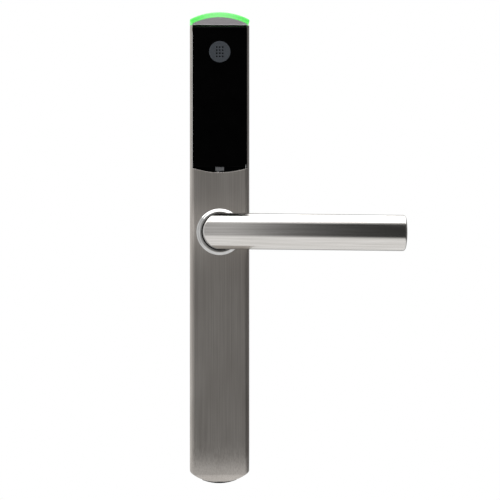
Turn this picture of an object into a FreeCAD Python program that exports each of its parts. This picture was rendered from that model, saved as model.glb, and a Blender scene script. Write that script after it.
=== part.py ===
"""Keypad smart lock: a narrow door plate with a keypad reader above a round lever handle.

Frame: millimetres, +Z up, +X towards the lever's free end, -Y towards the person at the door.
The origin is where the lever's axis meets the face of the door.
"""
import FreeCAD, Part
import math
import os
import Sketcher
from FreeCAD import Rotation, Vector

doc = FreeCAD.newDocument("keypad_smart_lock")
dims = doc.addObject("Spreadsheet::Sheet", "dims")

DIMENSIONS = [
    ("plate_width", 38, "width of the door plate"),
    ("plate_depth", 20, "door face to front face"),
    ("wall", 1.5, "wall of the steel shell"),
    ("edge_round", 3, "rounding of the long front edges"),
    ("side_top", 132.05, "height of the shell's side walls"),
    ("carrier_low", 130.95, "underside of the light carrier"),
    ("foot_bottom", -161, "lowest point of the shell"),
    ("foot_radius", 28, "arc of the foot, seen from the front"),
    ("foot_round", 2.2, "rounding of the foot's two corners"),
    ("roll_slow", 75, "first arc of the front face rolling back into the foot"),
    ("roll_quick", 8, "second arc of that roll"),
    ("roll_turn", 17, "tilt where the roll's two arcs meet, in degrees"),
    ("hollow_rise", 19, "lower end of the hollow above the lowest point"),
    ("inner_half", 17.5, "half the clear width inside the shell"),
    ("scoop_corner", 40.8, "height of the scoop's edge at the side walls"),
    ("scoop_radius", 56, "arc of the scoop under the reader"),
    ("crown_apex", 140.45, "highest point of the light guide"),
    ("crown_corner", 135.78, "height of the light guide's corners"),
    ("crown_radius", 41, "outer arc of the light guide"),
    ("lens_apex", 137.1, "top of the cap's lens shaped face"),
    ("lens_radius", 39, "arc of the cap's lens shaped face"),
    ("lens_base", 132.1, "straight lower edge of the cap"),
    ("lever_radius", 11, "outside radius of the lever tube"),
    ("lever_wall", 1.5, "wall of the lever tube"),
    ("lever_reach", 112, "spindle axis to the lever's flat end"),
    ("lever_stand", 49, "front face to the grip's axis"),
    ("neck_start", -15.5, "inner end of the lever's neck"),
    ("bush_clearance", 0.08, "radial running clearance of the neck in its bush"),
    ("ring_inner", 12.1, "inside radius of the rose ring"),
    ("ring_outer", 14.9, "outside radius of the rose ring"),
    ("ring_proud", 2.6, "how far the rose ring stands out"),
    ("ring_boss", 13.1, "radius of the ring's boss in the shell"),
    ("cup_radius", 11.5, "drive hub's cup"),
    ("cup_bore", 8.08, "bore of that cup"),
    ("hub_radius", 8, "spindle hub inside the cup"),
    ("spindle_side", 8, "square spindle across flats"),
    ("spindle_end", 35, "how far the spindle enters the door"),
    ("post_radius", 4, "mounting post"),
    ("post_bore", 2.1, "M5 thread, drilled radius"),
    ("post_upper", 46, "height of the upper post"),
    ("post_spacing", 150, "post to post"),
    ("post_reach", 8, "how far the posts enter the door"),
    ("gasket", 1, "foam gasket against the door"),
    ("backplate", 2, "steel backplate"),
    ("housing_half", 15.2, "half the width of the bearing housing"),
    ("housing_rise", 22, "half the height of the bearing housing"),
    ("housing_pocket", 13.6, "radius of the housing's spring pocket"),
    ("clutch_pin_radius", 1.35, "radial pin that joins lever and spindle"),
    ("clutch_plane", -6.5, "depth of the pin, slider, screw and motor"),
    ("clutch_pin_tip", 6.5, "inner end of the clutch pin, engaged"),
    ("clutch_pin_length", 5.2, "length of the clutch pin"),
    ("window_half", 17.4, "half the width of the reader window"),
    ("window_bottom", 41.5, "lower edge of the reader window"),
    ("window_top", 131, "upper edge of the reader window"),
    ("window_thick", 2, "thickness of the reader window"),
    ("window_corner", 3.5, "lower corners of the window"),
    ("icon_height", 115.05, "centre of the touch icon"),
    ("icon_radius", 6.8, "radius of the touch icon"),
    ("icon_deep", 0.3, "thickness of the icon inlay"),
    ("dot_radius", 0.52, "one dot of the icon"),
    ("dot_across", 1.9, "dot spacing sideways"),
    ("dot_down", 1.98, "dot spacing up and down"),
    ("cover_axis_y", -17, "swing axis of the reader cover, depth"),
    ("cover_axis_z", 129, "swing axis of the reader cover, height"),
    ("cell_radius", 5.25, "AAA cell"),
    ("cell_length", 44.5, "AAA cell with its nub"),
    ("cell_pitch", 10.9, "cell to cell"),
    ("cell_plane", -9.4, "depth of the cells"),
    ("cell_bottom", 61.5, "lower end of the cells"),
    ("contact_wire", 0.3, "radius of the contact springs' wire"),
    ("latch_wire", 0.2, "radius of the latch spring's wire"),
    ("tray_bottom", 57, "underside of the battery tray"),
    ("lead_radius", 0.6, "battery lead"),
    ("lead_side", 16.4, "battery lead beside the bearing housing"),
    ("lead_plane", 8, "depth of the battery leads"),
    ("lead_bend", 4, "bend of the battery leads"),
    ("lead_socket", -34.4, "height of the leads' sockets"),
    ("board_thick", 1.6, "circuit boards"),
    ("board_plane", -13, "front of the control board"),
    ("board_top", -26, "upper edge of the control board"),
    ("board_bottom", -88, "lower edge of the control board"),
]

pieces = []


def fill_sheet():
    for row, (alias, size, note) in enumerate(DIMENSIONS, 1):
        dims.set("A%d" % row, alias)
        dims.set("B%d" % row, str(size))
        dims.set("C%d" % row, note)
        dims.setAlias("B%d" % row, alias)
    doc.recompute()


def value(expression):
    """The number that an expression over the sheet gives now."""
    return float(dims.evalExpression(expression))


def bind(thing, **expressions):
    for prop, expression in expressions.items():
        thing.setExpression(prop, str(expression))
    return thing


def place(thing, x="0", y="0", z="0"):
    thing.setExpression("Placement.Base.x", str(x))
    thing.setExpression("Placement.Base.y", str(y))
    thing.setExpression("Placement.Base.z", str(z))
    return thing


def keep(thing, label):
    """Name a finished sub-part and put it on the list of pieces."""
    thing.Label = label
    pieces.append(thing)
    return thing


# ---------------------------------------------------------------- PartDesign helpers

def new_body(name):
    return doc.addObject("PartDesign::Body", name + "_body")


def sketch_on(body, name, role, offset="0"):
    """A sketch on one of the body's own origin planes, moved along the plane's normal."""
    drawn = body.newObject("Sketcher::SketchObject", name)
    plane = [o for o in body.Origin.OriginFeatures if o.Role == role][0]
    drawn.AttachmentSupport = [(plane, "")]
    drawn.MapMode = "FlatFace"
    drawn.setExpression("AttachmentOffset.Base.z", offset)
    return drawn


def hold(drawn, kind, expression, *where):
    """One driving dimension, tied to the sheet."""
    index = drawn.addConstraint(Sketcher.Constraint(kind, *where, value(expression)))
    drawn.setExpression("Constraints[%d]" % index, expression)


def bulged(a, b, radius):
    """An arc from a to b; a positive radius bulges to the right of the way from a to b.

    A sketch holds its arcs anticlockwise, so an arc that bulges to the left is drawn from b to a.
    """
    chord = b - a
    side = Vector(chord.y, -chord.x, 0).normalize()
    rise = abs(radius) - math.sqrt(radius ** 2 - (chord.Length / 2) ** 2)
    middle = (a + b) * 0.5 + side * math.copysign(rise, radius)
    return Part.Arc(a, middle, b) if radius > 0 else Part.Arc(b, middle, a)


def outline(drawn, corners):
    """A closed loop through corners (x, y) or (x, y, radius of the arc that follows)."""
    points = [Vector(value(c[0]), value(c[1]), 0) for c in corners]
    first = drawn.GeometryCount
    ends = []
    for i, corner in enumerate(corners):
        a = points[i]
        b = points[(i + 1) % len(points)]
        if len(corner) == 3:
            radius = value(corner[2])
            drawn.addGeometry(bulged(a, b, radius))
            hold(drawn, "Radius", "abs(%s)" % corner[2], first + i)
            ends.append((1, 2) if radius > 0 else (2, 1))
        else:
            drawn.addGeometry(Part.LineSegment(a, b))
            ends.append((1, 2))
    for i, corner in enumerate(corners):
        start = ends[i][0]
        before = (i - 1) % len(corners)
        hold(drawn, "DistanceX", corner[0], -1, 1, first + i, start)
        hold(drawn, "DistanceY", corner[1], -1, 1, first + i, start)
        drawn.addConstraint(Sketcher.Constraint(
            "Coincident", first + before, ends[before][1], first + i, start))
    return drawn


def box_outline(drawn, x0, x1, y0, y1):
    return outline(drawn, [(x0, y0), (x1, y0), (x1, y1), (x0, y1)])


def ring_outline(drawn, radius, x="0", y="0"):
    """A full circle with its centre and radius tied to the sheet."""
    centre = Vector(value(x), value(y), 0)
    drawn.addGeometry(Part.Circle(centre, Vector(0, 0, 1), value(radius)))
    index = drawn.GeometryCount - 1
    hold(drawn, "Radius", radius, index)
    hold(drawn, "DistanceX", x, -1, 1, index, 3)
    hold(drawn, "DistanceY", y, -1, 1, index, 3)
    return drawn


def pad(body, drawn, length, midplane=False, reverse=False):
    feature = body.newObject("PartDesign::Pad", drawn.Name + "_pad")
    feature.Profile = drawn
    feature.Midplane = midplane
    feature.Reversed = reverse
    bind(feature, Length=length)
    doc.recompute()
    return feature


def pocket(body, drawn, length=None, forward=True, midplane=False):
    """Cut along the sketch's normal (forward), against it, evenly both ways or right through."""
    before = body.Shape.Volume
    feature = body.newObject("PartDesign::Pocket", drawn.Name + "_pocket")
    feature.Profile = drawn
    if length is None:
        feature.Type = "ThroughAll"
        feature.Midplane = True
    else:
        feature.Reversed = forward
        feature.Midplane = midplane
        bind(feature, Length=length)
    doc.recompute()
    if body.Shape.Volume > before - 1e-3:
        raise RuntimeError("%s cut nothing" % drawn.Name)
    return feature


def revolve(body, drawn):
    """Turn a profile about its sketch's upright axis."""
    feature = body.newObject("PartDesign::Revolution", drawn.Name + "_turned")
    feature.Profile = drawn
    feature.ReferenceAxis = (drawn, ["V_Axis"])
    feature.Angle = 360
    doc.recompute()
    return feature


def edges_where(shape, test):
    return ["Edge%d" % i for i, edge in enumerate(shape.Edges, 1) if test(edge)]


def round_edges(body, radius, test):
    base = body.Tip
    feature = body.newObject("PartDesign::Fillet", body.Name + "_round")
    feature.Base = (base, edges_where(base.Shape, test))
    bind(feature, Radius=radius)
    doc.recompute()
    return feature


def turned(label, role, corners):
    """A sub-part turned on the lathe from one profile."""
    body = new_body(label)
    revolve(body, outline(sketch_on(body, label + "_profile", role), corners))
    return body


def coil_spring(name, role, wire, radius, start, pitch, turns):
    """A wire coil wound about the upright axis of a sketch on the given plane."""
    body = new_body(name)
    section = ring_outline(sketch_on(body, name + "_wire", role), wire, radius, start)
    coil = body.newObject("PartDesign::AdditiveHelix", name + "_coil")
    coil.Profile = section
    coil.ReferenceAxis = (section, ["V_Axis"])
    coil.Mode = "pitch-turns-angle"
    coil.Pitch = pitch
    coil.Turns = turns
    doc.recompute()
    return body


# ---------------------------------------------------------------- Part helpers

def block(x0, x1, y0, y1, z0, z1):
    box = doc.addObject("Part::Box", "block")
    bind(box, Length="(%s) - (%s)" % (x1, x0), Width="(%s) - (%s)" % (y1, y0),
         Height="(%s) - (%s)" % (z1, z0))
    return place(box, x0, y0, z0)


def round_bar(radius, axis, x, y, z, length):
    """A cylinder that starts at x, y, z and runs along +X, +Y or +Z."""
    bar = doc.addObject("Part::Cylinder", "bar")
    turn = {"X": Rotation(Vector(0, 1, 0), 90), "Y": Rotation(Vector(1, 0, 0), -90), "Z": Rotation()}
    bar.Placement.Rotation = turn[axis]
    bind(bar, Radius=radius, Height=length)
    return place(bar, x, y, z)


def fuse(parts):
    whole = doc.addObject("Part::MultiFuse", "fused")
    whole.Shapes = parts
    return whole


def cut(base, tool):
    rest = doc.addObject("Part::Cut", "cut")
    rest.Base = base
    rest.Tool = tool
    return rest


def group(parts):
    """Identical loose pieces kept in one node as separate solids."""
    together = doc.addObject("Part::Compound", "group")
    together.Links = parts
    return together


def softened(base, radius, test=lambda edge: True):
    """Round chosen edges of a Part solid."""
    doc.recompute()
    rounded = doc.addObject("Part::Fillet", "rounded")
    rounded.Base = base
    numbers = [i for i, edge in enumerate(base.Shape.Edges, 1) if test(edge)]
    rounded.Edges = [(number, radius, radius) for number in numbers]
    return rounded


def screw(axis, x, y, z, shank, length, head, head_thick):
    """A screw whose head starts at x, y, z and whose shank runs on along the axis."""
    step = {"X": (head_thick, 0, 0), "Y": (0, head_thick, 0), "Z": (0, 0, head_thick)}[axis]
    cap = round_bar(head, axis, x, y, z, head_thick)
    stem = round_bar(shank, axis, "%s + %s" % (x, step[0]), "%s + %s" % (y, step[1]),
                     "%s + %s" % (z, step[2]), length)
    return fuse([cap, stem])


# ---------------------------------------------------------------- the door plate

FRONT = "-dims.plate_depth"
POST_HEIGHTS = ["dims.post_upper", "dims.post_upper - dims.post_spacing"]
HOUSING_SCREWS = [(x, z) for x in (-11.8, 11.8) for z in (-18.6, 18.6)]
BOARD_SCREWS = [(x, z) for x in (-12, 12) for z in (-84, -30)]
BACK_FACE = "-dims.gasket - dims.backplate"


def front_shell():
    body = new_body("front_shell")
    side = sketch_on(body, "side_profile", "YZ_Plane")
    quick_start = "dims.foot_bottom + dims.roll_quick * (1 - sin(dims.roll_turn))"
    slow_back = FRONT + " + dims.roll_slow * (1 - cos(dims.roll_turn))"
    outline(side, [
        ("0", "dims.side_top"),
        (FRONT, "dims.side_top"),
        (FRONT, quick_start + " + dims.roll_slow * sin(dims.roll_turn)", "dims.roll_slow"),
        (slow_back, quick_start, "dims.roll_quick"),
        (slow_back + " + dims.roll_quick * cos(dims.roll_turn)", "dims.foot_bottom"),
        ("0", "dims.foot_bottom")])
    pad(body, side, "dims.plate_width", midplane=True)
    half = value("dims.plate_width / 2")
    front = value(FRONT)

    def long_front_edge(edge):
        middle = edge.CenterOfMass
        return abs(abs(middle.x) - half) < 1e-3 and middle.y < front + 0.5 and edge.Length > 100

    round_edges(body, "dims.edge_round", long_front_edge)
    inset = "(dims.plate_width / 2 - dims.foot_round)"
    grown = "dims.foot_radius / (dims.foot_radius - dims.foot_round)"
    drop = "sqrt((dims.foot_radius - dims.foot_round) ^ 2 - " + inset + " ^ 2)"
    turn_z = "dims.foot_bottom + dims.foot_radius - " + drop
    meet_x = inset + " * " + grown
    meet_z = turn_z + " * " + grown
    below = sketch_on(body, "below_the_foot", "XZ_Plane")
    outline(below, [
        ("-dims.plate_width / 2", turn_z, "dims.foot_round"),
        ("-" + meet_x, meet_z, "dims.foot_radius"),
        (meet_x, meet_z, "dims.foot_round"),
        ("dims.plate_width / 2", turn_z),
        ("dims.plate_width", turn_z),
        ("dims.plate_width", "dims.foot_bottom - 10"),
        ("-dims.plate_width", "dims.foot_bottom - 10"),
        ("-dims.plate_width", turn_z)])
    pocket(body, below)
    hollow = sketch_on(body, "hollow", "XZ_Plane")
    box_outline(hollow, "-dims.inner_half", "dims.inner_half", "dims.foot_bottom + dims.hollow_rise",
                "dims.side_top + 1")
    pocket(body, hollow, "dims.plate_depth - dims.wall")
    toe = sketch_on(body, "toe_hollow", "XZ_Plane")
    box_outline(toe, "-dims.inner_half + 2", "dims.inner_half - 2", "dims.foot_bottom + 7.5",
                "dims.foot_bottom + dims.hollow_rise + 1")
    pocket(body, toe, "dims.plate_depth - 7")
    reader = sketch_on(body, "reader_opening", "XZ_Plane")
    outline(reader, [
        ("-dims.inner_half", "dims.scoop_corner", "dims.scoop_radius"),
        ("dims.inner_half", "dims.scoop_corner"),
        ("dims.inner_half", "dims.side_top + 1"),
        ("-dims.inner_half", "dims.side_top + 1")])
    pocket(body, reader)
    scoop = value("dims.scoop_corner")
    round_edges(body, "0.35", lambda e: abs(e.CenterOfMass.y - front) < 1e-3
                and abs(e.CenterOfMass.z - scoop) < 4 and abs(e.CenterOfMass.x) < 1)
    pocket(body, ring_outline(sketch_on(body, "ring_hole", "XZ_Plane"), "dims.ring_boss + 0.1"))
    sockets = ring_outline(sketch_on(body, "pivot_sockets", "YZ_Plane"), "0.85",
                           "dims.cover_axis_y", "dims.cover_axis_z")
    pocket(body, sockets, "dims.inner_half * 2 + 2", midplane=True)
    slot = sketch_on(body, "plug_slot", "XY_Plane", "dims.foot_bottom + 4")
    box_outline(slot, "-11.1", "11.1", "-9.8", "-4.2")
    pocket(body, slot, "10", forward=False)
    screw_hole = ring_outline(sketch_on(body, "screw_hole", "XY_Plane", "dims.foot_bottom"),
                              "1.6", "0", "-7")
    pocket(body, screw_hole, "12")
    keep(body, "front_shell")


def top_cap():
    """Metal cap above the reader: a lens shaped face with a light well behind it."""
    body = new_body("top_cap")
    shoulder = "dims.lens_apex - dims.lens_radius - 0.05 + sqrt(dims.lens_radius ^ 2 - dims.window_half ^ 2)"
    face = sketch_on(body, "lens_face", "XZ_Plane", "2")
    outline(face, [
        ("-dims.window_half", "dims.lens_base"),
        ("dims.window_half", "dims.lens_base"),
        ("dims.window_half", shoulder, "dims.lens_radius"),
        ("-dims.window_half", shoulder)])
    pad(body, face, "dims.plate_depth - 2.1")
    well = sketch_on(body, "light_well", "XY_Plane", "dims.lens_base")
    box_outline(well, "-15.5", "15.5", "-15.5", "-3.5")
    pocket(body, well)
    front = value("0.1 - dims.plate_depth")
    base = value("dims.lens_base")
    round_edges(body, "0.6", lambda e: abs(e.CenterOfMass.y - front) < 1e-3
                and abs(e.CenterOfMass.z - base) < 1e-3)
    keep(body, "top_cap")


def status_light_guide():
    """Clear green bow over the top of the plate that shows the lock's state."""
    body = new_body("status_light_guide")
    under = "dims.lens_apex - dims.lens_radius + sqrt(dims.lens_radius ^ 2 - (dims.plate_width / 2) ^ 2)"
    bow = sketch_on(body, "bow", "XZ_Plane", "1")
    outline(bow, [
        ("-dims.plate_width / 2", under, "-dims.lens_radius"),
        ("dims.plate_width / 2", under),
        ("dims.plate_width / 2", "dims.crown_corner", "dims.crown_radius"),
        ("-dims.plate_width / 2", "dims.crown_corner")])
    pad(body, bow, "dims.plate_depth - 1")
    front = value(FRONT)
    half = value("dims.plate_width / 2")

    def corner(edge, height):
        middle = edge.CenterOfMass
        return abs(abs(middle.x) - half) < 1e-3 and abs(middle.z - value(height)) < 1e-3

    def front_edge(edge):
        middle = edge.CenterOfMass
        above = middle.z > value("dims.crown_corner") or abs(abs(middle.x) - half) < 1e-3
        return abs(middle.y - front) < 1e-3 and above

    round_edges(body, "1.6", lambda e: corner(e, under))
    round_edges(body, "1.1", lambda e: corner(e, "dims.crown_corner") or front_edge(e))
    keep(body, "status_light_guide")


def bottom_plug():
    """Black plug over the shell's screw, standing a little proud of the foot."""
    body = new_body("bottom_plug")
    lip = sketch_on(body, "lip", "XZ_Plane", "4.3")
    outline(lip, [
        ("-11", "dims.foot_bottom + 1.28", "dims.foot_radius + 0.9"),
        ("11", "dims.foot_bottom + 1.28"),
        ("11", "dims.foot_bottom + 3.9"),
        ("-11", "dims.foot_bottom + 3.9")])
    pad(body, lip, "5.4")
    well = ring_outline(sketch_on(body, "head_well", "XY_Plane", "dims.foot_bottom + 1.6"), "2.9", "0", "-7")
    pocket(body, well, "4")
    keep(body, "bottom_plug")


def shell_screw():
    keep(screw("Z", "0", "-7", "dims.foot_bottom + 2", "1.4", "11", "2.7", 2.0), "shell_screw")


def backplate():
    body = new_body("backplate")
    sheet = sketch_on(body, "sheet", "XZ_Plane", "dims.gasket")
    box_outline(sheet, "-dims.inner_half + 0.2", "dims.inner_half - 0.2",
                "dims.foot_bottom + dims.hollow_rise + 0.5", "dims.carrier_low - 0.45")
    pad(body, sheet, "dims.backplate")
    tab = sketch_on(body, "screw_tab", "XY_Plane", "dims.foot_bottom + 12.5")
    box_outline(tab, "-6", "6", "-12", "-dims.gasket")
    pad(body, tab, "2")
    link = sketch_on(body, "tab_link", "XZ_Plane", "dims.gasket")
    box_outline(link, "-6", "6", "dims.foot_bottom + 12.5", "dims.foot_bottom + dims.hollow_rise + 1")
    pad(body, link, "dims.backplate")
    holes = sketch_on(body, "post_holes", "XZ_Plane", "dims.gasket")
    for height in POST_HEIGHTS:
        ring_outline(holes, "dims.post_radius + 0.02", "0", height)
    ring_outline(holes, "6.08", "0", "0")
    for x, z in HOUSING_SCREWS + BOARD_SCREWS:
        ring_outline(holes, "1.6", str(x), str(z))
    pocket(body, holes)
    tapped = ring_outline(sketch_on(body, "tapped_hole", "XY_Plane", "dims.foot_bottom + 12"),
                          "1.4", "0", "-7")
    pocket(body, tapped, "3")
    keep(body, "backplate")


def door_gasket():
    body = new_body("door_gasket")
    foam = sketch_on(body, "foam", "XZ_Plane")
    box_outline(foam, "-dims.inner_half + 0.4", "dims.inner_half - 0.4",
                "dims.foot_bottom + dims.hollow_rise + 1", "dims.carrier_low - 1")
    pad(body, foam, "dims.gasket")
    holes = sketch_on(body, "gasket_holes", "XZ_Plane")
    for height in POST_HEIGHTS:
        ring_outline(holes, "dims.post_radius + 0.3", "0", height)
    ring_outline(holes, "8", "0", "0")
    for x, z in HOUSING_SCREWS + BOARD_SCREWS:
        ring_outline(holes, "3.1", str(x), str(z))
    pocket(body, holes)
    keep(body, "door_gasket")


def mounting_posts():
    posts = []
    for height in POST_HEIGHTS:
        start = BACK_FACE + " - 3"
        length = "dims.gasket + dims.backplate + 3 + dims.post_reach"
        outer = round_bar("dims.post_radius", "Y", "0", start, height, length)
        thread = round_bar("dims.post_bore", "Y", "0", start, height, length)
        posts.append(cut(outer, thread))
    keep(group(posts), "mounting_posts")


# ---------------------------------------------------------------- lever bearing and clutch

def bearing_housing():
    body = new_body("bearing_housing")
    base = sketch_on(body, "housing_block", "XZ_Plane", "dims.gasket + dims.backplate + 0.1")
    box_outline(base, "-dims.housing_half", "dims.housing_half", "-dims.housing_rise", "dims.housing_rise")
    pad(body, base, "dims.plate_depth - dims.wall - 3.2")
    round_edges(body, "2", lambda e: e.Length < 16 and abs(e.CenterOfMass.x) > value("dims.housing_half") - 1e-3
                and abs(e.CenterOfMass.z) > value("dims.housing_rise") - 1e-3)
    pocket(body, ring_outline(sketch_on(body, "bush_bore", "XZ_Plane"), "dims.ring_inner"))
    room = ring_outline(sketch_on(body, "spring_room", "XZ_Plane"), "dims.housing_pocket")
    pocket(body, room, "16")
    guide = sketch_on(body, "slider_guide", "XZ_Plane")
    box_outline(guide, "-3.4", "3.4", "dims.cup_radius", "dims.housing_rise + 1")
    pocket(body, guide, "8.7")
    threads = sketch_on(body, "screw_threads", "XZ_Plane")
    for x, z in HOUSING_SCREWS:
        ring_outline(threads, "1.45", str(x), str(z))
    pocket(body, threads, "12")
    keep(body, "bearing_housing")


def housing_screws():
    screws = []
    for x, z in HOUSING_SCREWS:
        head = round_bar("2.7", "Y", str(x), "-0.95", str(z), "0.9")
        shank = round_bar("1.4", "Y", str(x), "-11", str(z), "10.2")
        screws.append(fuse([head, shank]))
    keep(group(screws), "housing_screws")


def rose_ring():
    """Chromed ring round the lever's neck, with a boss that seats in the shell."""
    top = FRONT + " - dims.ring_proud"
    keep(turned("rose_ring", "XY_Plane", [
        ("dims.ring_inner", FRONT + " + dims.wall"),
        ("dims.ring_boss", FRONT + " + dims.wall"),
        ("dims.ring_boss", FRONT),
        ("dims.ring_outer", FRONT),
        ("dims.ring_outer", top + " + 1.2", "-1.2"),
        ("dims.ring_outer - 1.2", top),
        ("dims.ring_inner + 0.5", top, "-0.5"),
        ("dims.ring_inner", top + " + 0.5")]), "rose_ring")


def bearing_bush():
    """Black nylon bush between the ring and the turning neck."""
    inner = "dims.lever_radius + dims.bush_clearance"
    keep(turned("bearing_bush", "XY_Plane", [
        (inner, "-16.1"),
        ("dims.ring_inner - 0.02", "-16.1"),
        ("dims.ring_inner - 0.02", FRONT + " - dims.ring_proud + 0.7"),
        (inner, FRONT + " - dims.ring_proud + 0.7")]), "bearing_bush")


def return_spring():
    """Torsion spring that lifts the lever back to level."""
    keep(coil_spring("return_spring", "XY_Plane", "0.5", "12.8", "-15", 1.15, 2), "return_spring")


def drive_hub():
    """Turned hub: its shaft carries the lever, its cup takes the spindle hub."""
    body = turned("drive_hub", "XY_Plane", [
        ("6.2", "-42"),
        ("dims.lever_radius - dims.lever_wall - 0.1", "-42"),
        ("dims.lever_radius - dims.lever_wall - 0.1", "-14.7"),
        ("8.9", "-14.7"),
        ("8.9", "-13.5"),
        ("dims.lever_radius - dims.lever_wall - 0.1", "-13.5"),
        ("dims.lever_radius - dims.lever_wall - 0.1", "-12"),
        ("dims.cup_radius", "-12"),
        ("dims.cup_radius", "-3.4"),
        ("dims.cup_bore", "-3.4"),
        ("dims.cup_bore", "-9.7"),
        ("6.2", "-9.7")])
    hole = ring_outline(sketch_on(body, "pin_hole", "XY_Plane"), "1.45", "0", "dims.clutch_plane")
    pocket(body, hole, "dims.cup_radius + 1")
    grub = ring_outline(sketch_on(body, "grub_seat", "XY_Plane"), "2", "0", "-32")
    pocket(body, grub, "dims.cup_radius + 1", forward=False)
    keep(body, "drive_hub")


def hub_circlip():
    """Snap ring in the hub's groove, open on one side."""
    body = turned("hub_circlip", "XY_Plane", [
        ("8.92", "-14.6"),
        ("11", "-14.6"),
        ("11", "-13.6"),
        ("8.92", "-13.6")])
    gap = sketch_on(body, "circlip_gap", "XY_Plane")
    box_outline(gap, "-3", "3", "-15", "-13")
    pocket(body, gap, "15", forward=False)
    keep(body, "hub_circlip")


def lever_handle():
    """Round steel tube: a straight neck, a mitred corner and a level grip with a closed end."""
    body = new_body("lever_handle")
    path = sketch_on(body, "lever_path", "XY_Plane")
    grip_y = FRONT + " - dims.lever_stand"
    path.addGeometry(Part.LineSegment(Vector(0, value("dims.neck_start"), 0), Vector(0, value(grip_y), 0)))
    path.addGeometry(Part.LineSegment(
        Vector(0, value(grip_y), 0), Vector(value("dims.lever_reach - 2.5"), value(grip_y), 0)))
    path.addConstraint(Sketcher.Constraint("Coincident", 0, 2, 1, 1))
    hold(path, "DistanceX", "0", -1, 1, 0, 1)
    hold(path, "DistanceY", "dims.neck_start", -1, 1, 0, 1)
    hold(path, "DistanceX", "0", -1, 1, 0, 2)
    hold(path, "DistanceY", grip_y, -1, 1, 0, 2)
    hold(path, "DistanceX", "dims.lever_reach - 2.5", -1, 1, 1, 2)
    hold(path, "DistanceY", grip_y, -1, 1, 1, 2)
    tube = sketch_on(body, "tube_section", "XZ_Plane", "-dims.neck_start")
    ring_outline(tube, "dims.lever_radius")
    ring_outline(tube, "dims.lever_radius - dims.lever_wall")
    pipe = body.newObject("PartDesign::AdditivePipe", "tube")
    pipe.Profile = tube
    pipe.Spine = path
    pipe.Transition = "Right corner"
    doc.recompute()
    end = ring_outline(sketch_on(body, "closed_end", "YZ_Plane", "dims.lever_reach - 2.5"),
                       "dims.lever_radius", grip_y, "0")
    pad(body, end, "2.5")
    tip = value("dims.lever_reach")
    round_edges(body, "1.6", lambda e: abs(e.CenterOfMass.x - tip) < 1e-3)
    grub = ring_outline(sketch_on(body, "grub_hole", "XY_Plane"), "2.6", "0", "-32")
    pocket(body, grub, "dims.lever_radius + 1", forward=False)
    keep(body, "lever_handle")


def lever_grub_screw():
    stem = round_bar("1.95", "Z", "0", "-32", "-9.5 - 1", "4.2")
    cup = round_bar("2.5", "Z", "0", "-32", "-10.9", "1.35")
    socket = doc.addObject("Part::Prism", "hex_socket")
    socket.Polygon = 6
    bind(socket, Circumradius="1.3", Height="2.5")
    place(socket, "0", "-32", "-11")
    keep(cut(fuse([stem, cup]), socket), "lever_grub_screw")


def spindle_hub():
    body = turned("spindle_hub", "XY_Plane", [
        ("0", "-9.5"),
        ("dims.hub_radius", "-9.5"),
        ("dims.hub_radius", "-3.5"),
        ("6", "-3.5"),
        ("6", "-1.2"),
        ("0", "-1.2")])
    square = sketch_on(body, "spindle_hole", "XZ_Plane")
    half = "dims.spindle_side / 2"
    box_outline(square, "-" + half, half, "-" + half, half)
    pocket(body, square)
    hole = ring_outline(sketch_on(body, "pin_seat", "XY_Plane"), "1.45", "0", "dims.clutch_plane")
    pocket(body, hole, "dims.hub_radius + 1")
    keep(body, "spindle_hub")


def square_spindle():
    half = "dims.spindle_side / 2 - 0.02"
    bar = block("-(%s)" % half, half, "-16", "dims.spindle_end", "-(%s)" % half, half)
    keep(softened(bar, 0.4, lambda e: e.Length > 20), "square_spindle")


def clutch_pin():
    pin = round_bar("dims.clutch_pin_radius", "Z", "0", "dims.clutch_plane", "dims.clutch_pin_tip",
                    "dims.clutch_pin_length")
    keep(softened(pin, 0.4, lambda e: e.Closed), "clutch_pin")


def clutch_slider():
    """Nut block on the lead screw that lets the pin in and out of the spindle hub."""
    bottom = "dims.clutch_pin_tip + dims.clutch_pin_length + 0.15"
    lump = block("-3.2", "3.2", "-8.5", "-4.5", bottom, "26")
    nut = round_bar("1.3", "Z", "0", "dims.clutch_plane", "15.5", "12")
    keep(cut(lump, nut), "clutch_slider")


def lead_screw():
    core = round_bar("0.95", "Z", "0", "dims.clutch_plane", "18.5", "10")
    collars = [round_bar("1.2", "Z", "0", "dims.clutch_plane", "%g" % (18.8 + i), "0.5") for i in range(9)]
    keep(fuse([core] + collars), "lead_screw")


def clutch_motor():
    can = round_bar("3", "Z", "0", "dims.clutch_plane", "28.6", "11")
    cap = round_bar("2.2", "Z", "0", "dims.clutch_plane", "39.6", "0.9")
    keep(fuse([can, cap]), "clutch_motor")


def motor_cradle():
    lump = block("-5.6", "5.6", "-10.6", "-3.1", "30", "38")
    bore = round_bar("3.05", "Z", "0", "dims.clutch_plane", "29", "10")
    keep(cut(lump, bore), "motor_cradle")


# ---------------------------------------------------------------- electronics and power

def control_board():
    body = new_body("control_board")
    sheet = sketch_on(body, "board_sheet", "XZ_Plane", "-dims.board_plane - dims.board_thick")
    box_outline(sheet, "-15.5", "15.5", "dims.board_bottom", "dims.board_top")
    pad(body, sheet, "dims.board_thick")
    holes = sketch_on(body, "board_holes", "XZ_Plane")
    for x, z in BOARD_SCREWS:
        ring_outline(holes, "1.3", str(x), str(z))
    pocket(body, holes)
    keep(body, "control_board")


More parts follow.
